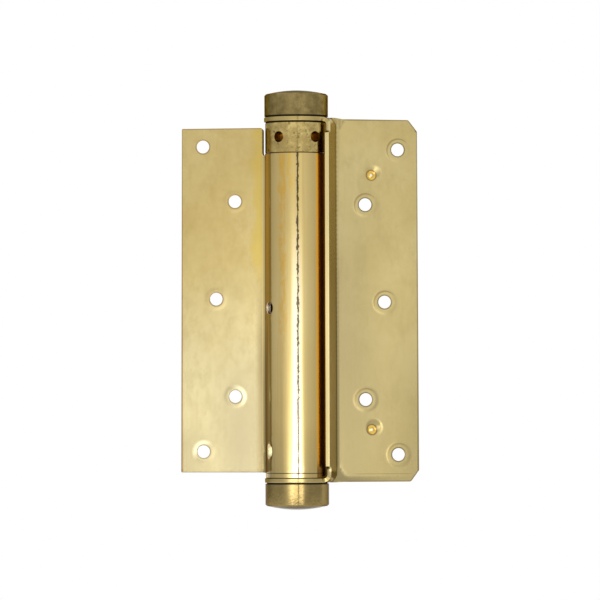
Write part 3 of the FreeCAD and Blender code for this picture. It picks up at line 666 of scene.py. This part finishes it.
def pressed_sheet(name, outline, holes, place, swell, grid, fine):
    """A pressed sheet with soft edges, made in millimetres from its flat pattern.

    The outline and the holes lie in the flat pattern. A hole has a centre, its radius on the wood
    side, its radius on the inner side, the depth at which it starts to widen and its number of
    points. place turns a point of the pattern and its lift off the middle of the sheet into space,
    and swell gives the height that pressing adds there. grid is the spacing of the points, and fine
    lists the centres round which they lie closer, with the reach and the spacing there.
    """
    out = facing(outline)
    turns = (0, math.pi / 6, math.pi / 3, math.pi / 2)
    arc = [(EDGE * (1 - math.sin(turn)), EDGE * (1 - math.cos(turn))) for turn in turns]
    steps = arc + [(inset, SHEET - depth) for inset, depth in reversed(arc)]
    mesh = bmesh.new()

    def vertex(s, z, depth):
        spot = place(s, z, SHEET / 2 - depth + swell(s, z))
        return mesh.verts.new(Vector(spot) * 0.001)

    def ring(points, depth):
        return [vertex(*point, depth) for point in points]

    def strip(one, two):
        for n in range(len(one)):
            after = (n + 1) % len(one)
            mesh.faces.new((one[n], one[after], two[after], two[n]))

    def drawn_in(inset):
        return [(p[0] - o.x * inset, p[1] - o.y * inset) for p, o in zip(outline, out)]

    # The sheet's edge and the walls of its holes
    edge_rings = [ring(drawn_in(inset), depth) for inset, depth in steps]
    for one, two in zip(edge_rings, edge_rings[1:]):
        strip(one, two)
    hole_rings = []
    for centre, front, back, depth, count in holes:
        profile = [(front + inset, at) for inset, at in arc]
        profile += [(front, depth)] if depth > EDGE else []
        if back > front:
            lip = 0.12
            profile += [(back - lip, SHEET - lip), (back + lip, SHEET)]
        else:
            profile += [(front + inset, SHEET - at) for inset, at in reversed(arc)]
        rings = [ring(circle(centre, radius, count), at) for radius, at in profile]
        for one, two in zip(rings, rings[1:]):
            strip(two, one)
        hole_rings.append((rings, profile))

    # The wood side and the inner side, each filled with triangles between the edge and the holes
    low = np.array(outline).min(axis=0)
    high = np.array(outline).max(axis=0)
    points = spread(low, high, grid, fine, holes)
    for side, depth in ((0, 0.0), (-1, SHEET)):
        loops = [drawn_in(EDGE)]
        bound = [edge_rings[side]]
        for (centre, _, _, _, count), (rings, profile) in zip(holes, hole_rings):
            loops.append(circle(centre, profile[side][0], count))
            bound.append(rings[side])
        keep = inside(points, loops[0]) & clear_of(points, loops[0], 0.3)
        for loop in loops[1:]:
            keep &= ~inside(points, loop) & clear_of(points, loop, 0.16)
        free = points[keep]
        flat, edges = [], []
        for loop in loops:
            start = len(flat)
            flat += [Vector(p) for p in loop]
            edges += [(start + n, start + (n + 1) % len(loop)) for n in range(len(loop))]
        on_loops = len(flat)
        flat += [Vector(p) for p in free]
        made, _, faces, origin, _, _ = delaunay_2d_cdt(flat, edges, [], 0, 1e-5)
        verts = []
        known = [v for loop in bound for v in loop]
        for spot, source in zip(made, origin):
            first = source[0] if source else -1
            verts.append(known[first] if 0 <= first < on_loops else vertex(spot.x, spot.y, depth))
        middles = np.array([[sum(made[i].x for i in f) / 3, sum(made[i].y for i in f) / 3] for f in faces])
        keep = inside(middles, loops[0])
        for loop in loops[1:]:
            keep &= ~inside(middles, loop)
        for face, good in zip(faces, keep):
            if good:
                corners = [verts[i] for i in face]
                mesh.faces.new(corners if side == 0 else corners[::-1])
    bmesh.ops.remove_doubles(mesh, verts=mesh.verts, dist=1e-7)
    bmesh.ops.recalc_face_normals(mesh, faces=mesh.faces)
    data = bpy.data.meshes.new(name)
    mesh.to_mesh(data)
    mesh.free()
    data.shade_smooth()
    piece = bpy.data.objects.new(name, data)
    scene.collection.objects.link(piece)
    even = piece.modifiers.new("normals", "WEIGHTED_NORMAL")
    even.weight = 60
    return piece


def fade(share):
    """1 at share 0, falling softly to 0 at share 1."""
    share = min(max(share, 0.0), 1.0)
    return 1 - share * share * (3 - 2 * share)


# The barrel leaf: a plate, a tight bend and the rolled tube. s runs along the flat pattern from the
# plate's outer edge, and all sizes are in millimetres.
MID = BACK + SHEET / 2
ROLL = 2.4
bend_y = -MID - ROLL
bend_x = -math.sqrt((TUBE + ROLL) ** 2 - bend_y**2)
tube_start = math.atan2(bend_y, bend_x) + 2 * math.pi
bend_turn = math.pi / 2 - (tube_start - math.pi)
REACH = 47.2
plate_run = bend_x + REACH
bend_run = ROLL * bend_turn
seam = math.asin((0.4 - BACK) / TUBE)
tube_run = TUBE * (2 * math.pi + (math.pi - seam) - tube_start)


def barrel_place(s, z, lift):
    """A point of the barrel leaf, from its place in the flat pattern and its lift off mid sheet."""
    if s <= plate_run:
        return (s - REACH, -MID - lift, z)
    if s <= plate_run + bend_run:
        angle = math.pi / 2 - (s - plate_run) / ROLL
        radius = ROLL - lift
        return (bend_x + radius * math.cos(angle), bend_y + radius * math.sin(angle), z)
    angle = tube_start + (s - plate_run - bend_run) / TUBE
    return ((TUBE + lift) * math.cos(angle), (TUBE + lift) * math.sin(angle), z)


# A screw hole's radius, the radius of its sink on the inner side, and the depth where that starts
SCREW = 2.65
SINK = 4.4
SINK_FROM = 0.5
barrel_centres = [(REACH - x, z) for x, z, _ in BARREL_HOLES]
side_s = plate_run + bend_run + TUBE * (math.radians(270 - SIDE) - tube_start)
oil = (side_s, OIL_HEIGHT)
dent = (side_s, DENT_HEIGHT)


def dimple(away, rise, reach=5.0, flat=3.4):
    """The pressed rim of a hole: full up to the flat radius, and gone at the reach."""
    return rise * fade((away - flat) / (reach - flat))


def barrel_swell(s, z):
    """The rims of the screw holes, and the dent, an oval of 4.4 by 8.6 mm."""
    height = 0.0
    for (cs, cz), (_, _, rise) in zip(barrel_centres, BARREL_HOLES):
        away = math.hypot(s - cs, z - cz)
        if away < 6.2:
            height += dimple(away, rise)
    away = math.hypot((s - dent[0]) / 2.2, (z - dent[1]) / 4.3)
    if away < 1:
        height -= 1.9 * fade(away)
    return height


# The heights of the plate's and the tube's ends; the tube stops lower, under the collar
top, foot = 70.8, -70.8
tube_top, tube_foot = 60.2, -71.2
tube_s = plate_run + bend_run
seam_s = tube_s + tube_run
slot_s = plate_run + 0.3
slot_foot = tube_top - 0.8
barrel_outline = rounded([
    (-0.6, foot, 0.5), (plate_run - 0.5, foot, 0), (tube_s, tube_foot, 0), (seam_s, tube_foot, 0),
    (seam_s, tube_top, 0), (slot_s + 1.7, tube_top, 0.3), (slot_s + 1.7, slot_foot, 0.75),
    (slot_s, slot_foot, 0.75), (slot_s, top, 1.4), (0, top, 0.5),
])
screw_holes = [(c, SCREW, SINK, SINK_FROM, 40) for c in barrel_centres]
barrel_leaf = pressed_sheet(
    "barrel_leaf_pressed",
    stepped(barrel_outline, 1.2),
    screw_holes + [(oil, 2.45, 2.45, 0.0, 36)],
    barrel_place,
    barrel_swell,
    (1.0, 2.0),
    [(c, 6.8, 0.45) for c in barrel_centres] + [(oil, 4.0, 0.5), (dent, 5.2, 0.4)],
)

# The frame leaf: a plate, a fold, the wall, and an ear bent from each end of the wall.
# FOLD and BEND are radii at mid sheet, and the ears start above PLATE_TOP.
FRAME_REACH = 49.9
PLATE_TOP = 75.2
FOLD = 1.5
BEND = 2.5
along = Vector((-math.sin(LEAN), -math.cos(LEAN)))
inward = Vector((-math.cos(LEAN), math.sin(LEAN)))
root = Vector(((12.9 + 1.17 + SHEET - FACE * math.sin(LEAN)) / math.cos(LEAN), -FACE))
wall_mid = root + inward * SHEET / 2
corner_x = wall_mid.x + along.x * (-MID - wall_mid.y) / along.y
fold_turn = math.pi / 2 - LEAN
tangent = FOLD * math.tan(fold_turn / 2)
fold_at = FRAME_REACH - corner_x - tangent
wall_at = fold_at + FOLD * fold_turn
fold_centre = Vector((corner_x + tangent, -MID - FOLD))
fold_end = math.pi / 2 + fold_turn
wall_start = fold_centre + Vector((math.cos(fold_end), math.sin(fold_end))) * FOLD
tip = Vector((root.x - 8.5 * math.tan(LEAN), -12.0))
tip_at = wall_at + (tip + inward * SHEET / 2 - wall_start).dot(along)
ear_mid = 75 - SHEET / 2
bend_low = ear_mid - BEND
ear_from = bend_low + BEND * math.pi / 2


def frame_place(s, z, lift):
    """A point of the frame leaf, from its place in the flat pattern and its lift off mid sheet."""
    up = z
    if s <= fold_at and abs(z) < PLATE_TOP:
        x, y = FRAME_REACH - s, -MID - lift
    elif s <= wall_at and abs(z) < PLATE_TOP:
        angle = math.pi / 2 + (s - fold_at) / FOLD
        x = fold_centre.x + (FOLD - lift) * math.cos(angle)
        y = fold_centre.y + (FOLD - lift) * math.sin(angle)
        turn = max(0.0, abs(z) - bend_low) / BEND
        lean = (s - fold_at) / (wall_at - fold_at) * BEND * (1 - math.cos(turn))
        x += inward.x * lean
        y += inward.y * lean
    else:
        spot = wall_start + along * (s - wall_at)
        over = abs(z) - bend_low
        if over <= 0:
            spot = spot - inward * lift
        elif over <= BEND * math.pi / 2:
            turn = over / BEND
            spot = spot + inward * (BEND - (BEND + lift) * math.cos(turn))
            up = math.copysign(bend_low + (BEND + lift) * math.sin(turn), z)
        else:
            spot = spot + inward * (over - BEND * math.pi / 2 + BEND)
            up = math.copysign(ear_mid + lift, z)
        x, y = spot
    return (x * math.cos(TURN) - y * math.sin(TURN), x * math.sin(TURN) + y * math.cos(TURN), up)


def ear_pattern(x, y):
    """The place in the flat pattern of a point of the upper ear, seen from above."""
    away = Vector((x, y)) - wall_start
    return (wall_at + away.dot(along), ear_from + away.dot(inward) - BEND)


EAR = 13.25
back_s = wall_at + 0.12
front_s = tip_at - 2.1
pin_s, pin_z = ear_pattern(0, 0)
ear_first = -math.pi / 2 - math.asin((pin_s - back_s) / EAR)
ear_last = -5 * math.pi / 2 + math.asin((front_s - pin_s) / EAR)
ear_arc = [ear_first + (ear_last - ear_first) * n / 70 for n in range(71)]

# Half of the outline, from the fold over one ear to the wall's front edge, with the corners' radii
ear_half = [(fold_at + 0.4, 75.0, 0.5), (wall_at - 0.12, 75.0, 0.4)]
ear_half += [(wall_at - 0.12, bend_low + 0.4, 0), (back_s, bend_low + 0.4, 0)]
ear_half += [(pin_s + EAR * math.cos(a), pin_z + EAR * math.sin(a), 0) for a in ear_arc]
ear_half += [(front_s, 69.3, 0.5), (front_s + 0.7, 68.7, 0.4), (tip_at, 68.5, 0.4)]

# The plate's corners differ: the upper one is cut larger, and the lower edge lies further out
middle_s = FRAME_REACH - 19.0
upper = [(0, 74.8 - 5.4, 1.0), (3.7, 74.2, 1.0), (middle_s, 74.4, 0.8)] + ear_half
lower = [(-0.4, 70.1, 1.0), (3.0, 74.8, 1.0), (middle_s, 74.8, 0.8)] + ear_half
frame_outline = rounded(upper + [(s, -z, radius) for s, z, radius in lower[::-1]])
frame_centres = [(FRAME_REACH - u, z) for u, z in FRAME_HOLES]
pips = [(FRAME_REACH - u, z) for u, z in PIPS]


def frame_swell(s, z):
    """The rims of the screw holes, a hollow and a groove at each pip, and the bent-back edges."""
    height = 0.0
    for cs, cz in frame_centres:
        away = math.hypot(s - cs, z - cz)
        if away < 6.2:
            height += dimple(away, 0.08, 5.3, 4.2)
    for cs, cz in pips:
        away = math.hypot(s - cs, z - cz)
        if away < 6:
            hollow = math.hypot(s - cs + 1.0, z - cz - 0.9)
            height -= 0.5 * fade((hollow - 0.3) / 3.4)
            height -= 0.4 * math.exp(-(((away - 1.3) / 0.45) ** 2))
    if s < fold_at and abs(z) < PLATE_TOP:
        height -= 0.3 * (max(0.0, abs(z) - 72.8) / 2.0) ** 2
    facet = 1 - max(0.0, fold_at - s) / 4.2 - (74.8 - abs(z)) / 6.8
    if s < wall_at and facet > 0 and abs(z) < PLATE_TOP:
        height -= 0.9 * facet * min(1.0, (wall_at - s) / (wall_at - fold_at))
    return height


frame_holes = [(c, SCREW, SINK, SINK_FROM, 40) for c in frame_centres]
frame_holes += [((pin_s, z), 4.02, 4.02, 0.0, 36) for z in (pin_z, -pin_z)]
frame_leaf = pressed_sheet(
    "frame_leaf_pressed",
    stepped(frame_outline, 1.2),
    frame_holes,
    frame_place,
    frame_swell,
    (1.0, 1.0),
    [(c, 6.8, 0.45) for c in frame_centres] + [(c, 5.8, 0.3) for c in pips],
)

for piece, node, body, finish in (
    (barrel_leaf, "barrel_leaf", "barrel", leaf),
    (frame_leaf, "frame_leaf", "frame", plate),
):
    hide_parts(node)
    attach(piece, body)
    piece.data.materials.append(finish)

# The tube has its own finish, and so do the wall's rim and the ears; the rim's is a lighter copy of the
# plate's brass, painted light on the wall's front edge
barrel_leaf.data.materials.append(tube)
for face in barrel_leaf.data.polygons:
    if face.center.x > -0.0136:
        face.material_index = 1
frame_leaf.data.materials.append(rim)
frame_leaf.data.materials.append(ear)
for face in frame_leaf.data.polygons:
    x, y, z = face.center * 1000
    forward = -0.1805 * x - 0.9836 * y
    if abs(z) > 72.3 and x < 14.5:
        face.material_index = 2
    elif forward > 4.95 and abs(z) < 74:
        face.material_index = 1


def washer(name, node, reach):
    """A thin ring in place of a node, out to a wider reach, between the node's own heights."""
    heights = [v.co.z for v in nodes[node].data.vertices]
    low, high = min(heights) + 0.00001, max(heights) - 0.00001
    bore = 0.0041
    profile = [(bore, low), (reach, low), (reach, high), (bore, high)]
    count = 96
    points = [
        (r * math.cos(2 * math.pi * n / count), r * math.sin(2 * math.pi * n / count), z)
        for n in range(count) for r, z in profile
    ]
    faces = []
    for n in range(count):
        here, after = 4 * n, 4 * ((n + 1) % count)
        faces += [(here + k, after + k, after + (k + 1) % 4, here + (k + 1) % 4) for k in range(4)]
    mesh = bpy.data.meshes.new(name)
    mesh.from_pydata(points, [], faces)
    piece = bpy.data.objects.new(name, mesh)
    scene.collection.objects.link(piece)
    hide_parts(node)
    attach(piece, "frame")
    mesh.materials.append(dark)


# The washers reach out to the ears' edges, near black as painted shade for the dark gaps beside the ears
washer("upper_washer", "top_thrust_washer", 0.01265)
washer("lower_washer", "bottom_thrust_washer", 0.01275)

FINISH = {
    leaf: ("barrel_leaf", "frame_leaf"),
    antique: ("top_cap",),
    collar: ("tension_collar",),
    worn: ("bottom_cap",),
    tube: ("spring_anchor_plug",),
    steel: ("torsion_spring", "spring_arbor", "top_pivot_pin", "bottom_pivot_pin"),
    dark: ("top_cap_shim", "bottom_cap_shim", "top_thrust_washer", "bottom_thrust_washer"),
    nylon: ("upper_bush", "lower_bush"),
}
for material, names in FINISH.items():
    for name in names:
        nodes[name].data.materials.clear()
        nodes[name].data.materials.append(material)

# Soft edges on the turned pieces: width in metres and number of segments
BEVELS = {
    "tension_collar": (0.00018, 2),
    "spring_anchor_plug": (0.0005, 3),
    "top_cap": (0.00018, 2),
    "bottom_cap": (0.00018, 2),
}
for name, (width, segments) in BEVELS.items():
    bevel = nodes[name].modifiers.new("edge", "BEVEL")
    bevel.width = width
    bevel.segments = segments
    bevel.limit_method = "ANGLE"
    bevel.angle_limit = math.radians(35)
    bevel.use_clamp_overlap = True
    bevel.harden_normals = True

# The floor lies 1 mm below the lower cap
FLOOR_HEIGHT = -0.0872


def floor_disc():
    """A round pale floor under the hinge, white but for the shadow that it keeps."""
    ring = [(x, y, FLOOR_HEIGHT) for x, y in circle((0, 0), 0.3, 96)]
    mesh = bpy.data.meshes.new("floor")
    mesh.from_pydata(ring, [], [list(range(len(ring)))])
    floor = bpy.data.objects.new("floor", mesh)
    scene.collection.objects.link(floor)
    material = bpy.data.materials.new("floor")
    material.use_nodes = True
    graph = Graph(material.node_tree)
    place = graph.add("ShaderNodeTexCoord").outputs["Object"]
    reach = graph.add("ShaderNodeVectorMath", operation="LENGTH")
    graph.feed(reach, 0, place)
    path = graph.add("ShaderNodeLightPath")
    seen = graph.any([path.outputs[f"Is {ray} Ray"] for ray in ("Camera", "Glossy", "Transmission")])
    clear = graph.add("ShaderNodeMapRange", inputs={"From Min": 0.02, "From Max": 0.08})
    graph.feed(clear, "Value", reach.outputs["Value"])
    paper = graph.add("ShaderNodeBsdfDiffuse", inputs={"Color": (0.9, 0.9, 0.9, 1)})
    white = graph.add("ShaderNodeEmission", inputs={"Color": (1, 1, 1, 1), "Strength": 1.0})
    mix = graph.add("ShaderNodeMixShader")
    graph.feed(mix, 0, graph.both(seen, clear.outputs[0]))
    graph.feed(mix, 1, paper.outputs[0])
    graph.feed(mix, 2, white.outputs[0])
    graph.feed(graph.add("ShaderNodeOutputMaterial"), "Surface", mix.outputs[0])
    mesh.materials.append(material)


# The light panel: its radius, lower and upper edge in metres, and its ends as bearings in degrees
PANEL_RADIUS = 0.25
PANEL_HEIGHTS = (-0.26, 0.36)
PANEL_BEARINGS = (-130.0, 110.0)

# Each glow is a level over the bearing, times a level over the height. The gap from 12.6 to 14.6
# degrees shows as a thin dark line in the highlights.
EVEN_GLOW = (
    [(-130, 1.0), (-120, 0.6), (-108, 0.5), (-83, 0.66), (-65, 0.74), (-47, 0.79), (-31, 0.82), (-14, 0.84),
     (12.3, 0.86), (12.6, 0.25), (14.6, 0.25), (14.9, 0.9), (30, 0.98), (43, 0.96), (59, 0.84), (77, 0.73),
     (98, 0.75), (110, 1.0)],
    [(-0.26, 0.5), (-0.09, 0.68), (-0.07, 0.8), (-0.05, 1.0), (0.25, 1.0), (0.36, 1.2)],
)
FRONT_GLOW = (
    [(-52, 0.0), (-42, 0.06), (-31, 0.26), (-22, 0.34), (-15, 0.38), (-8, 0.74), (-1, 1.05), (9, 1.0),
     (12.3, 0.82), (12.6, 0.0), (14.6, 0.0), (14.9, 0.72), (27, 0.64), (31, 0.26), (36, 0.1), (46, 0.0)],
    [(-0.26, 2.0), (-0.09, 2.0), (-0.07, 1.6), (-0.05, 1.3), (0.0, 1.1), (0.025, 0.7), (0.05, 0.25),
     (0.1, 0.1), (0.36, 0.0)],
)
LOW_GLOW = (
    [(-32, 0.0), (-24, 0.2), (-15.5, 0.75), (-10, 1.0), (-1, 0.6), (12.3, 0.4), (12.6, 0.0), (14.6, 0.0),
     (14.9, 0.6), (25, 0.75), (31, 0.3), (38, 0.0)],
    [(-0.26, 4.6), (-0.09, 4.4), (-0.07, 1.9), (-0.065, 1.5), (-0.045, 1.2), (-0.02, 0.6), (0.0, 0.2),
     (0.05, 0.1), (0.36, 0.0)],
)


def light_panel(name, glows):
    """A curved panel in front of the hinge. Its glow follows the bearing, and grows downwards."""
    first, last = PANEL_BEARINGS
    low, high = PANEL_HEIGHTS
    count = 72
    points = []
    for n in range(count + 1):
        angle = math.radians(first + (last - first) * n / count)
        x, y = PANEL_RADIUS * math.sin(angle), -PANEL_RADIUS * math.cos(angle)
        points += [(x, y, low), (x, y, high)]
    faces = [(2 * n, 2 * n + 2, 2 * n + 3, 2 * n + 1) for n in range(count)]
    mesh = bpy.data.meshes.new(name)
    mesh.from_pydata(points, [], faces)
    panel = bpy.data.objects.new(name, mesh)
    scene.collection.objects.link(panel)
    panel.visible_camera = False
    material = bpy.data.materials.new(name)
    material.use_nodes = True
    graph = Graph(material.node_tree)
    place = graph.add("ShaderNodeTexCoord").outputs["Object"]
    bearing, _, z = parts_of(graph, place)
    peak = 8.0

    def level_over(value, start, end, stops):
        """The level at a value, as a share of the peak, because a colour ramp holds no more than 1."""
        share = graph.add("ShaderNodeMapRange", inputs={"From Min": start, "From Max": end})
        graph.feed(share, "Value", value)
        places = [((at - start) / (end - start), (level / peak,) * 3) for at, level in stops]
        return graph.ramp(share.outputs[0], places)

    strength = 0.0
    for over_bearing, over_height in glows:
        across = level_over(bearing, first, last, over_bearing)
        upwards = level_over(z, low, high, over_height)
        strength = graph.math("MULTIPLY_ADD", graph.both(across, upwards), peak, strength)
    lamp = graph.add("ShaderNodeEmission", inputs={"Color": (1, 1, 1, 1)})
    graph.feed(lamp, "Strength", graph.both(strength, peak))
    graph.feed(graph.add("ShaderNodeOutputMaterial"), "Surface", lamp.outputs[0])
    mesh.materials.append(material)


def studio():
    """A plain white room."""
    world = bpy.data.worlds.new("studio")
    world.use_nodes = True
    scene.world = world
    graph = Graph(world.node_tree)
    light = graph.add("ShaderNodeBackground", inputs={"Color": (1, 1, 1, 1), "Strength": 1.0})
    graph.feed(graph.add("ShaderNodeOutputWorld"), "Surface", light.outputs[0])


floor_disc()
light_panel("front_light", [EVEN_GLOW, FRONT_GLOW, LOW_GLOW])
studio()
scene.view_settings.view_transform = "Standard"
